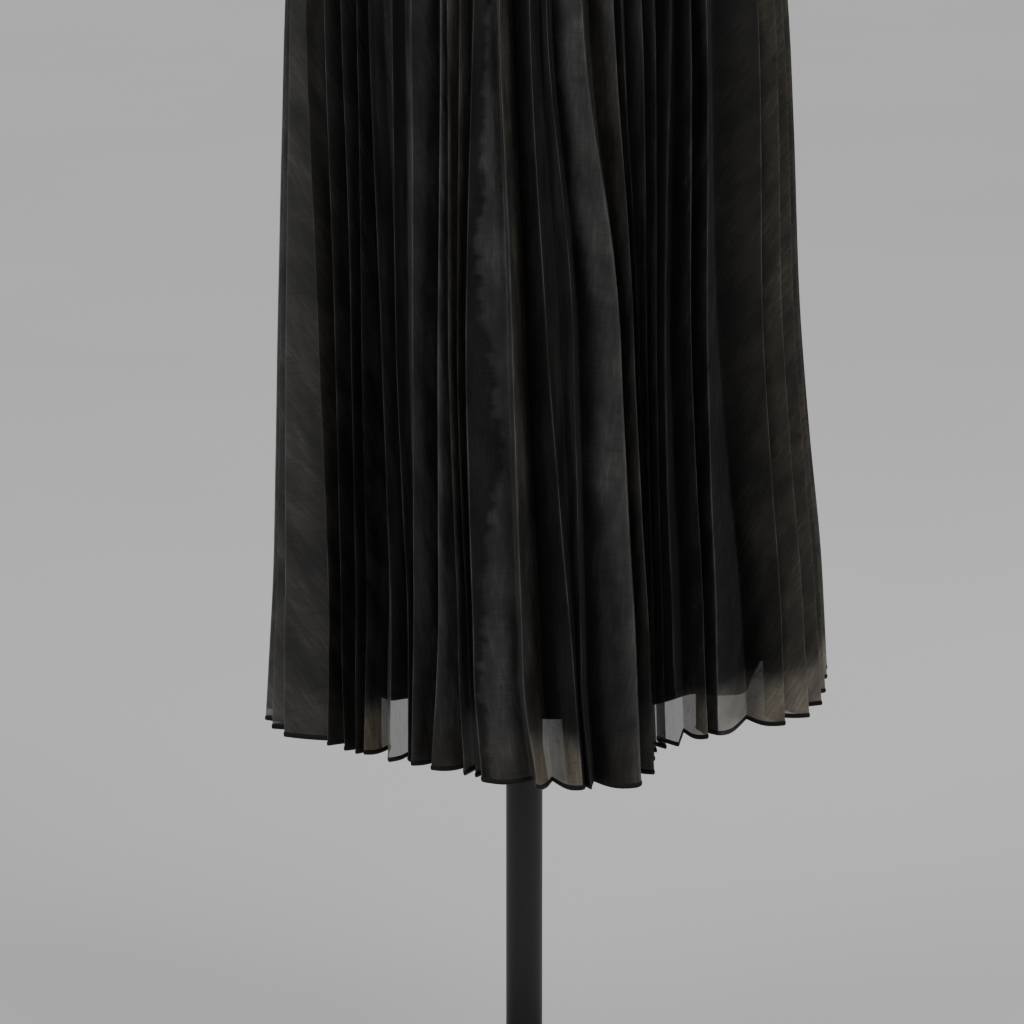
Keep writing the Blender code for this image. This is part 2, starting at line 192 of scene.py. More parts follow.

# How a flank's painted light changes. at_hip, at_hem: its share at those levels; near, far: its
# share at the outer fold where the flank starts and at its other end.
Change = namedtuple("Change", "at_hip at_hem near far", defaults=(1.0, 1.0, 1.0, 1.0))
CHANGES = {0: Change(near=1.2, far=0.7), 2: Change(near=1.2, far=0.7),
           4: Change(1.2, 0.75, 1.25, 0.6), 20: Change(2.3, 0.75), 22: Change(1.4, 0.8),
           26: Change(0.9, 0.95, 0.95, 1.25), 27: Change(1.8), 28: Change(1.5, 0.8, 1.3, 0.2)}

# The flanks that are painted lighter and warmer, for the light that comes through them below the
# lining.
BACKLIT_FLANKS = (12, 13, 28, 29, 45, 48, 49, 51, 53, 55, 57)
BACKLIGHT = 2.0
PAST_LINING = (922.0, 952.0)

# Where the cloth is divided across one flank of a pleat, from one crease towards the next.
FLANK_STEPS = (0.0, 0.02, 0.055, 0.12, 0.24, 0.38, 0.5, 0.62, 0.76, 0.88, 0.945, 0.98)

# The lining: a plain flared underskirt in soft waves.
LiningLevel = namedtuple("LiningLevel", "below centre half_wide half_deep wave")
LINING_LEVELS = table(
    LiningLevel,
    (0, 0, 131.1, 103.6, 0), (8, 0, 131.6, 104, 0), (40, 0, 140.2, 107.6, 0),
    (90, 0, 156.2, 115.2, 0), (150, 0, 167.3, 119.8, 0.2), (210, 0, 170.8, 121.2, 0.6),
    (300, 1, 173.5, 129, 1), (500, 5, 183, 151, 2), (720, 10, 195, 174, 3), (930, 15, 207, 196, 4),
)
LINING_LENGTH = 930.0
LINING_WAVES = 11

# How far the lining's hem hangs below its length. place: round the skirt; drop: there.
HemDrop = namedtuple("HemDrop", "place drop")
LINING_HEM = table(HemDrop, (-90, 0), (-60, 0), (-43, 0), (-34, -7), (-18, -3), (6, 4), (16, 0),
                   (40, -5), (54, 4), (68, 11), (80, 13), (88, 7), (130, 0), (270, 0))

# The dress form: a smooth general figure without limbs. above: over the waist seam.
FormLevel = namedtuple("FormLevel", "above half_wide half_deep")
FORM_LEVELS = table(
    FormLevel,
    (-290, 138, 92), (-284, 151, 103), (-262, 161, 111), (-210, 168, 118), (-150, 165, 117.5),
    (-90, 154, 113), (-40, 138, 105.5), (-8, 130, 102.5), (46, 130, 102.5), (100, 136, 105),
    (170, 146, 109), (240, 153, 110), (300, 156, 102), (335, 152, 90), (356, 138, 79),
    (370, 112, 69), (382, 84, 61), (398, 65, 57), (436, 57, 55),
)
FORM_FOOT, FORM_TOP = FORM_LEVELS[0], FORM_LEVELS[-1]
FORM_WAIST = FORM_LEVELS[7]

# Turned pieces, each a profile of radius and height from its own underside.
Step = namedtuple("Step", "radius height")
POLE_RADIUS = 17.5
BASE_PROFILE = table(Step, (168, 0), (170, 2), (170, 9), (167, 12))
FOOT_PROFILE = table(Step, (38, 0), (38, 16), (34, 20))
FLANGE_PROFILE = table(Step, (30, 0), (46, 4), (46, 12))
CAP_PROFILE = table(Step, (52, 0), (58, 3), (58, 9), (48, 14), (22, 17))
FOOT_BORE = POLE_RADIUS + 0.4
FLANGE_FOOT = WAIST_HEIGHT + FORM_FOOT.above - SEAM_GAP - FLANGE_PROFILE[-1].height


class Curve:
    """A smooth curve through a table's stops that never swings past them."""

    def __init__(self, stops):
        self.at, self.values = zip(*((float(at), float(value)) for at, value in stops))
        rates = [(high - low) / (b - a) for a, b, low, high
                 in zip(self.at, self.at[1:], self.values, self.values[1:])]
        self.slopes = [rates[0]]
        for before, after in zip(rates, rates[1:]):
            steady = before * after > 0
            self.slopes.append(2 * before * after / (before + after) if steady else 0.0)
        self.slopes.append(rates[-1])

    def __call__(self, at):
        index = min(max(bisect_right(self.at, at) - 1, 0), len(self.at) - 2)
        width = self.at[index + 1] - self.at[index]
        t = min(max((at - self.at[index]) / width, 0.0), 1.0)
        low, high = self.values[index], self.values[index + 1]
        rise, fall = self.slopes[index] * width, self.slopes[index + 1] * width
        return ((2 * t ** 3 - 3 * t ** 2 + 1) * low + (t ** 3 - 2 * t ** 2 + t) * rise
                + (3 * t ** 2 - 2 * t ** 3) * high + (t ** 3 - t ** 2) * fall)


def columns_of(levels):
    """One smooth curve for each column of a table, over its first column."""
    return {name: Curve([(level[0], getattr(level, name)) for level in levels])
            for name in levels[0]._fields[1:]}


def back_folds(first_place, last_place):
    """The back's outer folds, between two places round the skirt, uneven in spacing and depth."""
    draw = random.Random(BACK_SEED)
    gaps = [draw.uniform(0.55, 1.45) for _ in range(BACK_FOLDS + 1)]
    span = last_place - first_place
    even = span / (BACK_FOLDS + 1)
    folds = []
    travelled = 0.0
    for index in range(BACK_FOLDS):
        travelled += gaps[index] / sum(gaps) * span
        hem = first_place + travelled
        regular = first_place + (index + 1) * even
        hip, knee, shin = (regular + share * (hem - regular) for share in (0.45, 0.7, 0.92))
        near_side = 1.0 - min(1.0, (index + 1) / 8.0)
        out = draw.uniform(-12, 2)
        lean = draw.uniform(0.38, 0.62)
        rise = SIDE_RISE * near_side + draw.uniform(-2, 2)
        width = 0.5 * (gaps[index] + gaps[index + 1]) / sum(gaps) * radians(span)
        width *= SKIRT_LEVELS[-1].half_deep
        deep = min(BACK_FOLD_DEPTH + out, sqrt(FLANK_AT_HEM ** 2 - (width / 2) ** 2))
        folds.append(Fold(hip, knee, shin, hem, out, deep, lean, rise, 2.5))
    return folds


middle_border = Curve(MIDDLE_BORDER)


def drift(*where):
    """Smooth unevenness between -1 and 1, the same in every run."""
    return noise.noise(Vector((*where, 0.0, 0.0)[:3]))


def eased(value, low, high):
    """0 under low, 1 over high, and smooth from one to the other."""
    t = min(max((value - low) / (high - low), 0.0), 1.0)
    return t * t * (3.0 - 2.0 * t)


def on_oval(centre, half_wide, half_deep, place):
    """The plan point at a place round an oval."""
    angle = radians(place)
    return Vector((centre + half_wide * sin(angle), -half_deep * cos(angle)))


class Pleats:
    """The whole pleated cloth: every crease of it, at any level."""

    def __init__(self):
        last = SHOWN_FOLDS[-1].hem
        self.folds = list(SHOWN_FOLDS) + back_folds(last, SHOWN_FOLDS[0].hem + 360.0)
        self.level = columns_of(SKIRT_LEVELS)
        spacing = 360.0 / len(self.folds)
        self.places = []
        self.leans = []
        for index, fold in enumerate(self.folds):
            waist = -90.0 + spacing * (index + 0.5)
            self.places.append(Curve(((0.0, waist), (0.4 * HIP, 0.5 * (waist + fold.hip)),
                                      (HIP, fold.hip), (KNEE, fold.knee), (SHIN, fold.shin),
                                      (HEM, fold.hem))))
            lean = LEAN_AT_HIP.get(index, fold.lean)
            self.leans.append(Curve(((0.0, lean), (HIP, lean), (HEM, fold.lean))))
        self.count = 2 * len(self.folds)
        self.seams = {}

    def point(self, below, place, off):
        """The plan point at a place, which stands off the oval by so much."""
        return on_oval(self.level["centre"](below), self.level["half_wide"](below) + off,
                       self.level["half_deep"](below) + off, place)

    def creases(self, below):
        """All creases at a level, outer and inner in turn: their points, hem rises and rolls."""
        spread = self.level["spread"](below)
        depth_share = self.level["fold"](below) / SKIRT_LEVELS[-1].fold
        loose = min(1.0, below / 300.0)
        places = [place(below) for place in self.places]
        places.append(places[0] + 360.0)
        points, rises, rolls = [], [], []
        for index, fold in enumerate(self.folds):
            after = self.folds[(index + 1) % len(self.folds)]
            start, end = places[index:index + 2]
            sway = 0.12 * loose * drift(index * 3.7, below / 170.0)
            points.append(self.point(below, start + sway, fold.out * spread))
            off = 0.5 * (fold.out + after.out) * spread - fold.deep * depth_share
            lean = self.leans[index](below)
            points.append(self.point(below, start + lean * (end - start), off))
            rises.extend((fold.rise, 0.5 * (fold.rise + after.rise)))
            rolls.extend((fold.roll * (0.35 + 0.65 * loose), INNER_ROLL))
        return points, rises, rolls

    def line(self, below, stations):
        """Points of the cloth at a level, for stations that are a flank and a share across it."""
        points, rises, rolls = self.creases(below)
        count = self.count
        size = [(points[(i + 1) % count] - points[i]).length for i in range(count)]
        rolls = [min(rolls[i], 0.42 * size[i], 0.42 * size[i - 1]) for i in range(count)]
        shaped = []
        for i in range(count):
            back = (points[i - 1] - points[i]) / size[i - 1]
            ahead = (points[(i + 1) % count] - points[i]) / size[i]
            shaped.append(points[i] - 0.25 * rolls[i] * (back + ahead))
        share = (below / SKIRT_LENGTH) ** 2
        loose = min(1.0, below / 350.0)
        low_down = max(0.0, (below - DROOP_FROM) / (SKIRT_LENGTH - DROOP_FROM)) ** 2
        placed = []
        for flank, across in stations:
            i, j = flank % count, (flank + 1) % count
            low, high = shaped[i], shaped[j]
            run = high - low
            length = run.length
            ahead = run / length
            side = Vector((ahead.y, -ahead.x))
            if across * length < rolls[i]:
                back = (shaped[i - 1] - low).normalized()
                t = 0.5 + 0.5 * across * length / rolls[i]
                point = self.turn(low, back, ahead, rolls[i], t)
            elif (1.0 - across) * length < rolls[j]:
                onward = (shaped[(j + 1) % count] - high).normalized()
                t = 0.5 - 0.5 * (1.0 - across) * length / rolls[j]
                point = self.turn(high, -ahead, onward, rolls[j], t)
            else:
                point = low + run * across
            room = min((points[i] - points[(i + 2) % count]).length,
                       (points[j] - points[i - 1]).length)
            bow = 1.5 * min(0.16 * room, 0.07 * length) * drift(flank * 5.3, below / 260.0)
            if flank in FACE_OF:
                bow += FACE_OF[flank].bow * (0.7 + 0.3 * drift(flank * 1.7, below / 150.0, 3.0))
            ripple = min(0.05 * room, 1.0) * drift(flank * 2.9 + 1.6 * across, below / 52.0, 7.0)
            hump = sin(pi * across)
            point = point + side * ((bow + ripple) * hump * loose)
            if across == 0.5 and flank in self.seams:
                point = point + ahead * (self.seams[flank] * SEAM_GAP / 2)
            rise = rises[i] + (rises[j] - rises[i]) * across
            droop = HEM_DROOP.get(flank, min(0.08 * room, 1.6) * (0.6 + drift(flank * 6.1, 4.0)))
            rise = rise * share - droop * hump * low_down
            placed.append(Vector((point.x, point.y, WAIST_HEIGHT - below + rise)))
        return placed

    @staticmethod
    def turn(corner, back, ahead, roll, t):
        """A point on the rounded turn of the cloth at a crease."""
        start, end = corner + back * roll, corner + ahead * roll
        return start * (1 - t) ** 2 + corner * (2 * t * (1 - t)) + end * t ** 2


def panel_stations(first_flank, last_flank):
    """Where a panel is divided, from the middle of one flank to the middle of another."""
    return [(flank, step) for flank in range(first_flank, last_flank + 1) for step in FLANK_STEPS
            if first_flank + 0.5 <= flank + step <= last_flank + 0.5]


def new_sheet(columns, rows, marks=()):
    """A grid of cloth and its vertices in rows from the top; marks are values kept at each vertex."""
    builder = bmesh.new()
    for mark in marks:
        builder.verts.layers.float.new(mark)
    bmesh.ops.create_grid(builder, x_segments=columns - 1, y_segments=rows - 1, size=1.0)
    ordered = sorted(builder.verts, key=lambda vertex: (-round(vertex.co.y, 5), vertex.co.x))
    return builder, [ordered[row * columns:(row + 1) * columns] for row in range(rows)]


def lay_uv(builder, placing):
    """A cloth map in metres, across and down the cloth, from each vertex's own pair."""
    layer = builder.loops.layers.uv.new("cloth")
    for face in builder.faces:
        for loop in face.loops:
            loop[layer].uv = placing[loop.vert]


def finish_piece(name, builder, material, smooth=True):
    mesh = bpy.data.meshes.new(name)
    for face in builder.faces:
        face.smooth = smooth
    builder.to_mesh(mesh)
    builder.free()
    mesh.materials.append(material)
    piece = bpy.data.objects.new(name, mesh)
    bpy.context.scene.collection.objects.link(piece)
    return piece


def face_outward(builder):
    """Turns an open wall round the body so that it looks away from the axis."""
    total = sum(face.normal.xy.dot(face.calc_center_median().xy) * face.calc_area()
                for face in builder.faces)
    if total < 0:
        bmesh.ops.reverse_faces(builder, faces=builder.faces)


class Wire:
    """A node's output that can be used in sums like a number."""

    def __init__(self, nodes, socket):
        self.nodes = nodes
        self.socket = socket

    def math(self, operation, *values):
        return self.nodes.add("Math", {"operation": operation}, *values)

    def __add__(self, other):
        return self.math("ADD", self, other)

    def __sub__(self, other):
        return self.math("SUBTRACT", self, other)

    def __rsub__(self, other):
        return self.math("SUBTRACT", other, self)

    def __mul__(self, other):
        return self.math("MULTIPLY", self, other)

    def __pow__(self, other):
        return self.math("POWER", self, other)

    __radd__ = __add__
    __rmul__ = __mul__

    def sine(self):
        return self.math("SINE", self)

    def between(self, low, high):
        """0 under low, 1 over high, and smooth from one to the other."""
        return self.nodes.add("MapRange", {"interpolation_type": "SMOOTHSTEP"}, self, low, high)


class Nodes:
    """The node tree of one material."""

    def __init__(self, name):
        self.material = bpy.data.materials.new(name)
        self.material.use_nodes = True
        self.tree = self.material.node_tree
        self.shader = self.tree.nodes["Principled BSDF"]

    def add(self, kind, settings, *values, output=0, **named):
        """A node of a kind with its settings made first, then its sockets set or joined."""
        node = self.tree.nodes.new("ShaderNode" + kind)
        for name, value in settings.items():
            setattr(node, name, value)
        for socket, value in zip(node.inputs, values):
            self.feed(socket, value)
        for name, value in named.items():
            self.feed(node.inputs[name.replace("_", " ")], value)
        return Wire(self, node.outputs[output])

    def feed(self, socket, value):
        if isinstance(value, Wire):
            self.tree.links.new(value.socket, socket)
        elif value is not None:
            socket.default_value = value

    def blend(self, share, low, high):
        """A colour between two, by a share."""
        other_kinds = (None,) * 5
        return self.add("Mix", {"data_type": "RGBA"}, share, *other_kinds, low, high, output=2)

    def shades(self, share, colour, low, high):
        """A colour between two shades of one, by a share."""
        return self.blend(share, rgb(colour, low), rgb(colour, high))

    def finished(self, **named):
        """The material, after its shader's sockets are set or joined."""
        for name, value in named.items():
            self.feed(self.shader.inputs[name.replace("_", " ")], value)
        return self.material

    def mark(self, name):
        """A value kept at the cloth's vertices."""
        return self.add("Attribute", {"attribute_name": name}, output=2)

    def flecks(self, where, across, down, low, high, detail=2.0):
        """Noise drawn out by a number of flecks a metre each way, cut between two of its values."""
        spread = self.add("VectorMath", {"operation": "MULTIPLY"}, where, (across, down, across))
        size = {"noise_dimensions": "2D" if where.socket.node.bl_idname == "ShaderNodeUVMap" else "3D"}
        cloud = self.add("TexNoise", size, Vector=spread, Scale=1.0, Detail=detail)
        return cloud.between(low, high)

    def bump(self, height, distance, strength):
        return self.add("Bump", {}, Strength=strength, Distance=distance, Height=height)


def rgb(colour, shade=1.0):
    """A lighter or darker shade of a colour, as a socket takes it."""
    return (*(part * shade for part in colour), 1.0)


def organza_finish(name, settings, layers=None):
    """Sheer black silk with slubs; on the panels its colour holds painted light and shade, painted warm
    light and a painted highlight along the outer folds; layers, if given, is how many lie on each other
    all over.
    """
    nodes = Nodes(name)
    cloth = nodes.add("UVMap", {"uv_map": "cloth"})
    weft_slubs_and_crease_shade = nodes.flecks(cloth, 60.0, 620.0, 0.56, 0.84, 0.0)
    warp = nodes.flecks(cloth, 520.0, 60.0, 0.42, 0.84, 0.0)
    crinkle = nodes.flecks(cloth, 54.0, 15.0, 0.30, 0.74, 3.0)
    # The marks and this ragged noise place the painted light: light and shade for a flank's bright part
    # and the rest, border where one turns into the other.
    ragged = (nodes.flecks(cloth, 40.0, 70.0, 0.25, 0.75, 5.0) - 0.5) * nodes.mark("ragged")
    fold, warm, shade = nodes.mark("fold_edge_highlight"), nodes.mark("painted_warm_light"), nodes.mark("shade")
    lit = (nodes.mark("border") + ragged).between(0.0, 1.0)
    light = shade + (nodes.mark("light") - shade) * lit
    thick = 1.0 if layers is None else 0.45
    base = nodes.blend(warm, rgb(settings.organza_colour, thick),
                       rgb(settings.organza_painted_warm_light_colour, thick))
    # The tone is painted light and shade: the flank's painted light, the crinkles painted lighter on
    # their crests and darker in their hollows, and the weft's fine creases painted as shade; the warp's
    # slubs are lighter threads.
    tone = light * (0.54 + crinkle * 0.76) * (0.98 + warp * 0.42 - weft_slubs_and_crease_shade * 0.3)
    if layers is None:
        base = nodes.add("VectorMath", {"operation": "SCALE"}, base, Scale=tone)
        layers = nodes.mark("layers")
        # A painted highlight along the outer folds, brightest at the fold's edge.
        edge_highlight = (fold ** 2.0) * (0.25 + crinkle * 0.75)
        base = nodes.blend(edge_highlight, base, rgb(settings.edge_highlight_colour))
    flecked = settings.sheerness + (weft_slubs_and_crease_shade * 0.02 + warp * 0.04 - 0.02)
    cover = nodes.add("Math", {"operation": "MULTIPLY", "use_clamp": True},
                      1.0 - (1.0 - flecked) ** layers, 1.04)
    return nodes.finished(
        Base_Color=base, Alpha=cover, Roughness=0.55, Coat_Weight=light * 0.5,
        Normal=nodes.bump(crinkle, 0.0010, 0.8),
        Specular_IOR_Level=0.06, Coat_Roughness=0.42, Coat_IOR=1.5, Sheen_Weight=0.03)


def lining_finish(name, settings):
    """Plain opaque black lining with a faint lengthwise grain."""
    nodes = Nodes(name)
    cloth = nodes.add("UVMap", {"uv_map": "cloth"})
    grain = nodes.flecks(cloth, 1500.0, 40.0, 0.3, 0.8)
    soft = nodes.flecks(cloth, 12.0, 6.0, 0.2, 0.8)
    base = nodes.shades(grain * 0.5 + soft * 0.3, settings.lining_colour, 0.8, 1.5)
    return nodes.finished(
        Base_Color=base, Roughness=0.62 + grain * 0.12,
        Normal=nodes.bump(grain * 0.3 + soft, 0.0006, 0.6), Specular_IOR_Level=0.35,
        Sheen_Weight=0.05)


def band_finish(name, settings):
    """Folded organza over elastic: fine gathers and a line of stitches near each edge."""
    nodes = Nodes(name)
    cloth = nodes.add("UVMap", {"uv_map": "cloth"})
    parts = nodes.add("SeparateXYZ", {}, cloth)
    down = Wire(nodes, parts.socket.node.outputs[1])
    gathers = nodes.flecks(cloth, 420.0, 18.0, 0.3, 0.75)
    weave = nodes.flecks(cloth, 2200.0, 300.0, 0.25, 0.75, 0.0)
    row = (down * (2 * pi / 0.0095)).sine().between(0.93, 1.0)
    stitch = row * (parts * (2 * pi / 0.0026)).sine().between(-0.3, 0.3)
    # The gathers' colour follows their bump: painted light on their crests and painted shade in their
    # hollows.
    base = nodes.shades(gathers * 0.5 + weave * 0.2, settings.organza_colour, 0.35, 0.8)
    base = nodes.blend(stitch * 0.7, base, rgb(settings.organza_colour, 1.4))
    return nodes.finished(
        Base_Color=base, Roughness=0.55 + weave * 0.1,
        Normal=nodes.bump(gathers * 0.8 + weave * 0.1 - stitch * 0.5, 0.0008, 0.8),
        Specular_IOR_Level=0.2, Sheen_Weight=0.03)


def form_finish(name, settings):
    """Plain linen stretched over the form, with its thread ends and a little unevenness."""
    nodes = Nodes(name)
    place = nodes.add("TexCoord", {}, output=3)
    upright = nodes.flecks(place, 1300.0, 90.0, 0.25, 0.8, 1.0)
    lying = nodes.flecks(place, 90.0, 1300.0, 0.25, 0.8, 1.0)
    slub = nodes.flecks(place, 30.0, 500.0, 0.62, 0.8)
    cloud = nodes.flecks(place, 9.0, 7.0, 0.2, 0.8)
    base = nodes.shades(upright * 0.35 + lying * 0.25 + cloud * 0.25, settings.form_colour, 0.78, 1.12)
    base = nodes.blend(slub * 0.35, base, rgb(settings.form_colour, 1.3))
    return nodes.finished(
        Base_Color=base, Roughness=0.86 + upright * 0.08,
        Normal=nodes.bump(upright * 0.5 + lying * 0.5 + slub * 0.4, 0.0004, 0.7), Sheen_Weight=0.15)


def metal_finish(name, settings, roughness):
    """Satin black paint with a fine orange-peel and a few faint rubbed marks."""
    nodes = Nodes(name)
    place = nodes.add("TexCoord", {}, output=3)
    peel = nodes.flecks(place, 420.0, 420.0, 0.2, 0.8)
    rubbed = nodes.flecks(place, 70.0, 26.0, 0.66, 0.8, 4.0)
    base = nodes.shades(peel * 0.3 + rubbed * 0.3, settings.metal_colour, 1.0, 1.7)
    return nodes.finished(
        Base_Color=base, Roughness=roughness - 0.05 + peel * 0.1 + rubbed * 0.08,
        Normal=nodes.bump(peel, 0.0001, 0.5), Specular_IOR_Level=0.38)


def floor_finish(name, settings):
    """Pale matt floor paper with a barely seen cloudiness."""
    nodes = Nodes(name)
    place = nodes.add("TexCoord", {}, output=3)
    cloud = nodes.flecks(place, 1.3, 1.3, 0.2, 0.8, 2.0)
    tooth = nodes.flecks(place, 320.0, 320.0, 0.2, 0.8, 0.0)
    base = nodes.shades(cloud, settings.floor_colour, 0.98, 1.02)
    return nodes.finished(
        Base_Color=base, Roughness=0.9 + tooth * 0.06, Specular_IOR_Level=0.2)


# Each skirt panel is cut as part of a ring of cloth, so that its grain slants towards the sides.
CUT_TOP = 900.0


def panel_cut(hem_round):
    """A skirt panel's flat cut: the angle of its ring, its inner radius, its area and its box."""
    angle = (hem_round - CUT_TOP) / SKIRT_LENGTH
    inner = CUT_TOP / angle
    area = 0.5 * angle * ((inner + SKIRT_LENGTH) ** 2 - inner ** 2) * MM * MM
    wide = 2 * (inner + SKIRT_LENGTH) * sin(angle / 2) * MM
    tall = (inner + SKIRT_LENGTH - inner * cos(angle / 2)) * MM
    return angle, inner, area, wide, tall


def line_length(points):
    return sum((after - before).xy.length for before, after in zip(points, points[1:]))


def sideways(points):
    """The outward plan direction of the cloth at each point of a line."""
    ends = [points[0], *points, points[-1]]
    runs = [after - before for before, after in zip(ends, ends[2:])]
    return [Vector((run.y, -run.x, 0.0)).normalized() for run in runs]


def layers_at(flank, across):
    """How many thicknesses of organza lie together at a place on the cloth."""
    if flank >= 2 * len(SHOWN_FOLDS):
        return 4.0 if drift(flank * 7.7) > -0.15 else 1.0
    for pressed in PRESSED_FLANKS:
        if flank in pressed.flanks and pressed.start <= across <= pressed.end:
            return pressed.layers
    return 1.0


def light_at(flank, across, below):
    """The cloth's painted light there in its brighter part and its painted shade in the rest, how far it
    is past the border between them and how ragged that is, both in its widths, and how much painted warm
    light it takes."""
    # Below the lining's hem the cloth gets painted light and painted warm light, for the light that comes
    # through it.
    under_lining = eased(below, *PAST_LINING)
    backlit = under_lining if flank in BACKLIT_FLANKS else 0.0
    if flank not in FACE_OF:
        light = 0.8 + 0.4 * drift(flank * 4.1, 2.0) + BACKLIGHT * backlit
        return light, light, 0.0, 0.0, max(0.4, backlit)
    face, part = FACE_OF[flank], LIT_PARTS.get(flank, OTHER_PARTS)
    down = below / SKIRT_LENGTH
    wander = drift(below / 31.0, flank * 2.1)
    if flank == MIDDLE_FLANK:
        border = middle_border(below) + 0.10 * wander
    else:
        border = part.hip + (part.hem - part.hip) * down
        border += 0.32 * drift(below / 105.0, flank * 1.1) + 0.14 * wander
    # A flank's painted light: more below the lining, uneven down it, a painted highlight at the far edge,
    # and its changes.
    light = face.light * (1.0 + 0.25 * under_lining)
    light *= 1.0 + 0.18 * drift(below / 130.0, flank * 3.3, 5.0)
    light *= 1.0 + part.rim * max(0.0, across - 0.65) / 0.35 * (1.0 - eased(down, 0.5, 0.72))
    change = CHANGES.get(flank, Change())
    light *= change.at_hip + (change.at_hem - change.at_hip) * down
    light *= change.near + (change.far - change.near) * across
    past = (across - border) / part.width + 0.5
    # glow is the painted light that comes through the cloth below the lining.
    glow = BACKLIGHT * backlit
    return (1.12 * light + glow, part.dark * light + glow, past, part.ragged,
            max(face.warm, 0.35 * under_lining, backlit))


def build_pleated_panel(name, pleats, stations, rows, material):
    """One skirt panel: a single sheet of cloth from the waist seam to the hem."""
    # Besides the layers, these marks carry painted light: the highlight along the outer folds, the warm
    # light and the light and shade of each flank.
    marks = ("fold_edge_highlight", "painted_warm_light", "layers", "light", "shade", "border", "ragged")
    builder, grid = new_sheet(len(stations), rows, marks)
    fold_edge_highlight, painted_warm_light, layers, *shares = (builder.verts.layers.float[mark] for mark in marks)
    hem_round = line_length(pleats.line(SKIRT_LENGTH, stations))
    angle, inner, area, wide, tall = panel_cut(hem_round)
    first, last = stations[0][0] + 0.5, stations[-1][0] + 0.5
    placing = {}
    for row, vertices in enumerate(grid):
        below = SKIRT_LENGTH * row / (rows - 1)
        for vertex, point, (flank, across) in zip(vertices, pleats.line(below, stations), stations):
            vertex.co = point * MM
            near_outer = across if flank % 2 == 0 else 1.0 - across
            vertex[fold_edge_highlight] = max(0.0, 1.0 - near_outer / 0.045)
            *values, vertex[painted_warm_light] = light_at(flank, across, below)
            for share, value in zip(shares, values):
                vertex[share] = value
            vertex[layers] = layers_at(flank, across)
            turn = angle * ((flank + across - first) / (last - first) - 0.5)
            reach = inner + below
            placing[vertex] = (reach * sin(turn) * MM, -reach * cos(turn) * MM)
    lay_uv(builder, placing)
    face_outward(builder)
    panel = finish_piece(name, builder, material)
    return panel, (wide, tall), area


def build_rolled_hem(name, layer, stations, length, top, half_thick, material):
    """A narrow turned hem round a sheet's lower edge: a flat tube along the edge."""
    edge, upper = (layer.line(length - lift, stations) for lift in (SEAM_GAP, top))
    outward = sideways(edge)
    turns = [2 * pi * step / 8 for step in range(8)]
    section = [(cos(turn) * half_thick, 0.5 + 0.5 * sin(turn)) for turn in turns]
    builder, grid = new_sheet(len(edge), len(section) + 1)
    placing = {}
    run = 0.0
    for column, (low, high) in enumerate(zip(edge, upper)):
        if column:
            run += (low - edge[column - 1]).length
        for row, vertices in enumerate(grid):
            thick, up = section[row % len(section)]
            point = low + (high - low) * up
            vertices[column].co = (point + outward[column] * thick) * MM
            placing[vertices[column]] = (run * MM, up * top * MM)
    lay_uv(builder, placing)
    bmesh.ops.remove_doubles(builder, verts=builder.verts, dist=1e-7)
    open_ends = [side for side in builder.edges if side.is_boundary]
    bmesh.ops.holes_fill(builder, edges=open_ends, sides=0)
    bmesh.ops.recalc_face_normals(builder, faces=builder.faces)
    return finish_piece(name, builder, material)


class Lining:
    """The underskirt, which hangs in soft waves inside the pleats."""

    def __init__(self):
        self.level = columns_of(LINING_LEVELS)
        self.drop = Curve(LINING_HEM)

    def line(self, below, places):
        """Points of the lining at a level, whose ends keep the seam's gap."""
        points = []
        centre, wide = self.level["centre"](below), self.level["half_wide"](below)
        deep, wave = self.level["half_deep"](below), self.level["wave"](below)
        for place in places:
            angle = radians(place)
            off = wave * cos(radians(LINING_WAVES * place + 35.0))
            hollow = max(0.0, drift(sin(angle) * 3.1, cos(angle) * 3.1, below / 420.0))
            off -= 6.0 * hollow * max(0.0, min(1.0, (below - 300.0) / 400.0))
            drop = self.drop(place) * (below / LINING_LENGTH) ** 3
            height = WAIST_HEIGHT - below - drop
            points.append(Vector((*on_oval(centre, wide + off, deep + off, place), height)))
        for end, inward in ((0, 1), (-1, -2)):
            ahead = (points[inward] - points[end]).normalized()
            points[end] = points[end] + ahead * (SEAM_GAP / 2)
        return points


def build_lining_panel(name, lining, places, material):
    """One lining panel: a single sheet through places round the body."""
    columns, rows = len(places), 90
    builder, grid = new_sheet(columns, rows)
    hem_round = line_length(lining.line(LINING_LENGTH, places))
    placing = {}
    area = 0.0
    for row, vertices in enumerate(grid):
        below = LINING_LENGTH * row / (rows - 1)
        points = lining.line(below, places)
        for column, (vertex, point) in enumerate(zip(vertices, points)):
            vertex.co = point * MM
            placing[vertex] = ((column / (columns - 1) - 0.5) * hem_round * MM, -below * MM)
        area += line_length(points) * MM * LINING_LENGTH / rows * MM
    lay_uv(builder, placing)
    face_outward(builder)
    panel = finish_piece(name, builder, material)
    tall = LINING_LENGTH + max(stop.drop for stop in LINING_HEM)
    return panel, (hem_round * MM, tall * MM), area


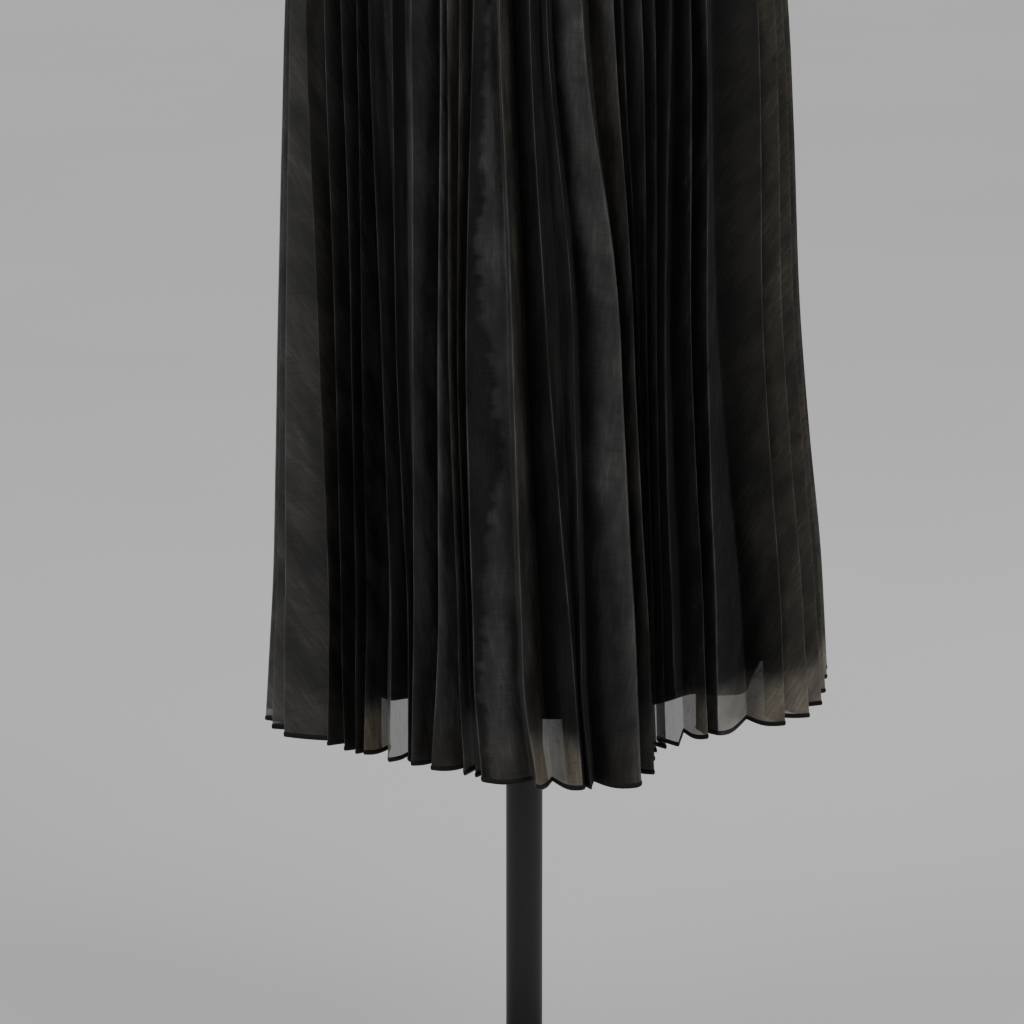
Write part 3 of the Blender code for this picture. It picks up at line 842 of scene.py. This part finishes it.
def build_band(name, material):
    """The waistband: a closed flat ring of folded cloth with fine uneven gathers."""
    around, section_points = 432, 16
    height, half_thick, waist_round, strip_wide = 38.0, 1.5, 0.73, 0.082
    middle = WAIST_HEIGHT + SEAM_GAP + height / 2
    builder, grid = new_sheet(around + 1, section_points + 1)
    placing = {}
    for column in range(around + 1):
        place = 360.0 * (column % around) / around
        angle = radians(place)
        for row, vertices in enumerate(grid):
            turn = 2 * pi * (row % section_points) / section_points
            across, up = cos(turn), sin(turn)
            up = copysign(abs(up) ** 0.55, up)
            reach = SEAM_GAP + half_thick + copysign(abs(across) ** 0.6, across) * half_thick
            if across > 0:
                gather = 0.32 * drift(sin(angle) * 34.0, cos(angle) * 34.0, up * 0.7)
                reach += 0.5 * (1.0 - up * up) + gather
            reach = max(reach, SEAM_GAP)
            wide, deep = FORM_WAIST.half_wide + reach, FORM_WAIST.half_deep + reach
            point = Vector((*on_oval(0.0, wide, deep, place), middle + up * height / 2))
            vertices[column].co = point * MM
            placing[vertices[column]] = (place / 360.0 * waist_round, row / section_points * strip_wide)
    lay_uv(builder, placing)
    bmesh.ops.remove_doubles(builder, verts=builder.verts, dist=1e-7)
    bmesh.ops.recalc_face_normals(builder, faces=builder.faces)
    return finish_piece(name, builder, material)


def build_form(name, material):
    """The dress form: one closed smooth body from its foot to its neck."""
    wide, deep = columns_of(FORM_LEVELS).values()
    low, high = FORM_FOOT.above, FORM_TOP.above
    shares = (0.0, 0.35, 0.7, 0.93, 0.985)
    count = 84
    rings = [(high, share) for share in shares]
    rings += [(high - 1.5 + (low + 3.0 - high) * step / (count - 1), 1.0) for step in range(count)]
    rings += [(low, share) for share in reversed(shares)]
    last = len(rings) - 1
    builder = bmesh.new()
    bmesh.ops.create_uvsphere(builder, u_segments=96, v_segments=last, radius=1.0)
    for vertex in builder.verts:
        up = max(-1.0, min(1.0, vertex.co.z))
        above, share = rings[round(acos(up) / pi * last)]
        angle = atan2(vertex.co.y, vertex.co.x)
        vertex.co = Vector((wide(above) * share * cos(angle),
                            deep(above) * share * sin(angle), WAIST_HEIGHT + above)) * MM
    return finish_piece(name, builder, material)


def build_turned(name, profile, foot, material, bore=0.0, soften=0.8, steps=96):
    """A turned piece from its profile, with softened edges; bore is the radius of its hole."""
    builder = bmesh.new()
    outline = [(bore, profile[0].height), *profile, (bore, profile[-1].height)]
    ends = [builder.verts.new((radius * MM, 0.0, (foot + height) * MM)) for radius, height in outline]
    pairs = list(zip(ends, ends[1:]))
    if bore:
        pairs.append((ends[-1], ends[0]))
    edges = [builder.edges.new(pair) for pair in pairs]
    bmesh.ops.spin(builder, geom=ends + edges, cent=(0, 0, 0), axis=(0, 0, 1), angle=2 * pi,
                   steps=steps, use_merge=True)
    bmesh.ops.remove_doubles(builder, verts=builder.verts, dist=1e-6)
    bmesh.ops.recalc_face_normals(builder, faces=builder.faces)
    corners = [edge for edge in builder.edges if len(edge.link_faces) == 2
               and edge.calc_face_angle(0.0) > radians(22)]
    bmesh.ops.bevel(builder, geom=corners, offset=soften * MM, offset_type="OFFSET", segments=3,
                    profile=0.5, affect="EDGES", clamp_overlap=True, material=-1)
    return finish_piece(name, builder, material)


COLOUR = {"size": 3, "subtype": "COLOR", "min": 0.0, "max": 1.0}


class SkirtSettings(bpy.types.PropertyGroup):
    """Sizes and colours of the skirt and its studio."""

    hem_height: FloatProperty(
        name="Hem height", description="Height of the skirt's narrow turned hem",
        default=0.0046, min=0.002, max=0.02, unit="LENGTH")
    lining_hem_height: FloatProperty(
        name="Lining hem height", description="Height of the lining's hem",
        default=0.010, min=0.003, max=0.04, unit="LENGTH")
    sheerness: FloatProperty(
        name="Cover", description="Share of the view that one layer of organza covers",
        default=0.66, min=0.1, max=1.0, subtype="FACTOR")
    organza_colour: FloatVectorProperty(
        name="Organza", description="Colour of the organza", default=(0.0250, 0.0244, 0.0243), **COLOUR)
    # The colour of the painted warm light that comes through the sheer layers.
    organza_painted_warm_light_colour: FloatVectorProperty(
        name="Organza in warm light", description="Colour of the organza where it looks brown",
        default=(0.0290, 0.0242, 0.0165), **COLOUR)
    # The colour of the painted highlight along the outer folds.
    edge_highlight_colour: FloatVectorProperty(
        name="Edge highlight", description="Colour along the pressed outer folds",
        default=(0.088, 0.086, 0.084), **COLOUR)
    lining_colour: FloatVectorProperty(
        name="Lining", description="Colour of the lining", default=(0.0060, 0.0060, 0.0062), **COLOUR)
    form_colour: FloatVectorProperty(
        name="Form cover", description="Colour of the form's cloth", default=(0.50, 0.46, 0.40), **COLOUR)
    metal_colour: FloatVectorProperty(
        name="Stand", description="Colour of the stand's paint", default=(0.0085, 0.0085, 0.0088),
        **COLOUR)
    floor_colour: FloatVectorProperty(
        name="Floor", description="Colour of the floor", default=(0.52, 0.52, 0.52), **COLOUR)
    room_light: FloatProperty(
        name="Room light", description="Strength of the light from all round",
        default=0.62, min=0.0, max=5.0)
    side_light: FloatProperty(
        name="Side lights", description="Strength of the two broad lamps", default=1.0,
        min=0.0, max=20.0)
    floor_light: FloatProperty(
        name="Floor lamp", description="Power of the lamp that lights the floor round the stand",
        default=10.0, min=0.0, max=200.0, unit="POWER")
    backdrop_light: FloatProperty(
        name="Backdrop lamp", description="Power of the lamp behind, which lights the floor there",
        default=14.0, min=0.0, max=200.0, unit="POWER")


def hand_over(piece, node=None):
    """Puts a finished piece on the body and hides the solid it stands for."""
    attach(piece, "root")
    if node:
        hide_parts(node)


def hand_over_sheet(panel, hem, node):
    """Hands over a sheet of cloth and its turned hem."""
    hand_over(panel, node)
    hand_over(hem)


class SKIRT_OT_pleats(bpy.types.Operator):
    """Lay the two pleated organza panels and their narrow hems over the frame"""

    bl_idname = "skirt.pleats"
    bl_label = "Pleated panels"

    def execute(self, context):
        settings = context.scene.pleated_skirt
        cloth = organza_finish("organza", settings)
        hem_cloth = organza_finish("organza_hem", settings, 3)
        pleats = Pleats()
        last_front = 2 * FRONT_PANEL_FOLDS - 2
        for name, rows, first, last in (("front", 110, -1, last_front),
                                        ("back", 100, last_front, pleats.count - 1)):
            stations = panel_stations(first, last)
            pleats.seams = {first: 1.0, last: -1.0}
            panel, flat, area = build_pleated_panel("organza_" + name, pleats, stations, rows, cloth)
            hem = build_rolled_hem("organza_hem_" + name, pleats, stations, SKIRT_LENGTH,
                                   settings.hem_height / MM, 0.7, hem_cloth)
            hand_over_sheet(panel, hem, "skirt_" + name)
        return {"FINISHED"}


class SKIRT_OT_lining(bpy.types.Operator):
    """Hang the two panels of the opaque lining under the pleats"""

    bl_idname = "skirt.lining"
    bl_label = "Lining"

    def execute(self, context):
        settings = context.scene.pleated_skirt
        cloth = lining_finish("lining_cloth", settings)
        lining = Lining()
        columns = 240
        for name, start, end in (("front", -90.0, 90.0), ("back", 90.0, 270.0)):
            places = [start + (end - start) * step / (columns - 1) for step in range(columns)]
            panel, flat, area = build_lining_panel("underskirt_" + name, lining, places, cloth)
            hem = build_rolled_hem("underskirt_hem_" + name, lining, places, LINING_LENGTH,
                                   settings.lining_hem_height / MM, 0.8, cloth)
            hand_over_sheet(panel, hem, "lining_" + name)
        return {"FINISHED"}


class SKIRT_OT_band(bpy.types.Operator):
    """Make the gathered waistband"""

    bl_idname = "skirt.band"
    bl_label = "Waistband"

    def execute(self, context):
        cloth = band_finish("band_cloth", context.scene.pleated_skirt)
        hand_over(build_band("elastic_band", cloth), "waistband")
        return {"FINISHED"}


class SKIRT_OT_form(bpy.types.Operator):
    """Make the limbless dress form and the plates above and below it"""

    bl_idname = "skirt.form"
    bl_label = "Dress form"

    def execute(self, context):
        settings = context.scene.pleated_skirt
        hand_over(build_form("form_body", form_finish("form_linen", settings)),
                  "dress_form")
        metal = metal_finish("satin_black_fittings", settings, 0.42)
        cap_foot = WAIST_HEIGHT + FORM_TOP.above + SEAM_GAP
        hand_over(build_turned("neck_plate", CAP_PROFILE, cap_foot, metal), "neck_cap")
        hand_over(build_turned("foot_plate_of_form", FLANGE_PROFILE, FLANGE_FOOT, metal),
                  "form_flange")
        return {"FINISHED"}


class SKIRT_OT_stand(bpy.types.Operator):
    """Make the pole, its collar and the round foot"""

    bl_idname = "skirt.stand"
    bl_label = "Stand"

    def execute(self, context):
        settings = context.scene.pleated_skirt
        satin = metal_finish("satin_black_pole", settings, 0.46)
        foot_paint = metal_finish("satin_black_foot", settings, 0.52)
        seat = BASE_PROFILE[-1].height + SEAM_GAP
        profile = table(Step, (POLE_RADIUS, 0.0), (POLE_RADIUS, FLANGE_FOOT - SEAM_GAP - seat))
        hand_over(build_turned("pole_tube", profile, seat, satin), "pole")
        hand_over(build_turned("pole_collar", FOOT_PROFILE, seat, foot_paint, bore=FOOT_BORE),
                  "pole_foot")
        hand_over(build_turned("round_foot", BASE_PROFILE, 0.0, foot_paint, soften=1.2, steps=144),
                  "stand_base")
        return {"FINISHED"}


def add_lamp(scene, name, kind, power, back):
    """A lamp of a kind, turned so that its back looks in a direction."""
    lamp = bpy.data.lights.new(name, type=kind)
    lamp.energy = power
    holder = bpy.data.objects.new(name, lamp)
    holder.rotation_euler = back.to_track_quat("Z", "Y").to_euler()
    scene.collection.objects.link(holder)
    return holder


class SKIRT_OT_studio(bpy.types.Operator):
    """Make the pale floor, the soft lights and the camera"""

    bl_idname = "skirt.studio"
    bl_label = "Studio"

    def execute(self, context):
        settings = context.scene.pleated_skirt
        builder = bmesh.new()
        bmesh.ops.create_circle(builder, cap_ends=True, segments=128, radius=45.0)
        floor = finish_piece("floor", builder, floor_finish("floor_paper", settings), smooth=False)

        world = bpy.data.worlds.new("studio_room")
        world.use_nodes = True
        glow = world.node_tree.nodes["Background"]
        glow.inputs["Color"].default_value = (1.0, 1.0, 1.0, 1.0)
        glow.inputs["Strength"].default_value = settings.room_light
        context.scene.world = world

        height = radians(34.0)
        for name, place, share in (("broad_lamp_right_of_camera", 52.0, 1.0),
                                   ("broad_lamp_left_of_camera", -52.0, 0.9)):
            back = Vector((*on_oval(0.0, cos(height), cos(height), place), sin(height)))
            lamp = add_lamp(context.scene, name, "SUN", settings.side_light * share, back)
            lamp.data.angle = radians(40.0)

        for name, power, place, aim in (
                ("floor_lamp", settings.floor_light, (1.7, -1.3, 2.7), (0.55, 0.7, 0.0)),
                ("backdrop_lamp", settings.backdrop_light, (0.9, 1.4, 2.4), (0.6, 0.2, 0.0))):
            lamp = add_lamp(context.scene, name, "AREA", power, Vector(place) - Vector(aim))
            lamp.location = place
            lamp.visible_camera = False
            lamp.data.shape = "DISK"
            lamp.data.size = 1.6

        lens = bpy.data.cameras.new("camera")
        lens.lens = 185.8
        lens.sensor_width = 36.0
        lens.clip_end = 120.0
        camera = bpy.data.objects.new("camera", lens)
        camera.location = (-0.0118, -4.8618, 1.7616)
        camera.rotation_euler = (radians(90.0 - 13.5), 0.0, 0.0)
        context.scene.collection.objects.link(camera)
        context.scene.camera = camera
        return {"FINISHED"}


class SKIRT_PT_panel(bpy.types.Panel):
    """Lists the skirt's sizes and its pieces"""

    bl_idname = "SKIRT_PT_panel"
    bl_label = "Pleated skirt"
    bl_space_type = "VIEW_3D"
    bl_region_type = "UI"
    bl_category = "Skirt"

    def draw(self, context):
        settings = context.scene.pleated_skirt
        for name in SkirtSettings.__annotations__:
            self.layout.prop(settings, name)
        for step in STEPS:
            self.layout.operator(step.bl_idname)


STEPS = (SKIRT_OT_studio, SKIRT_OT_stand, SKIRT_OT_form, SKIRT_OT_band, SKIRT_OT_lining,
         SKIRT_OT_pleats)
CLASSES = (SkirtSettings, *STEPS, SKIRT_PT_panel)


def register():
    for kind in CLASSES:
        bpy.utils.register_class(kind)
    bpy.types.Scene.pleated_skirt = PointerProperty(type=SkirtSettings)


def unregister():
    del bpy.types.Scene.pleated_skirt
    for kind in reversed(CLASSES):
        bpy.utils.unregister_class(kind)


def main():
    register()
    for step in STEPS:
        group, name = step.bl_idname.split(".")
        getattr(getattr(bpy.ops, group), name)()


if __name__ == "__main__":
    main()
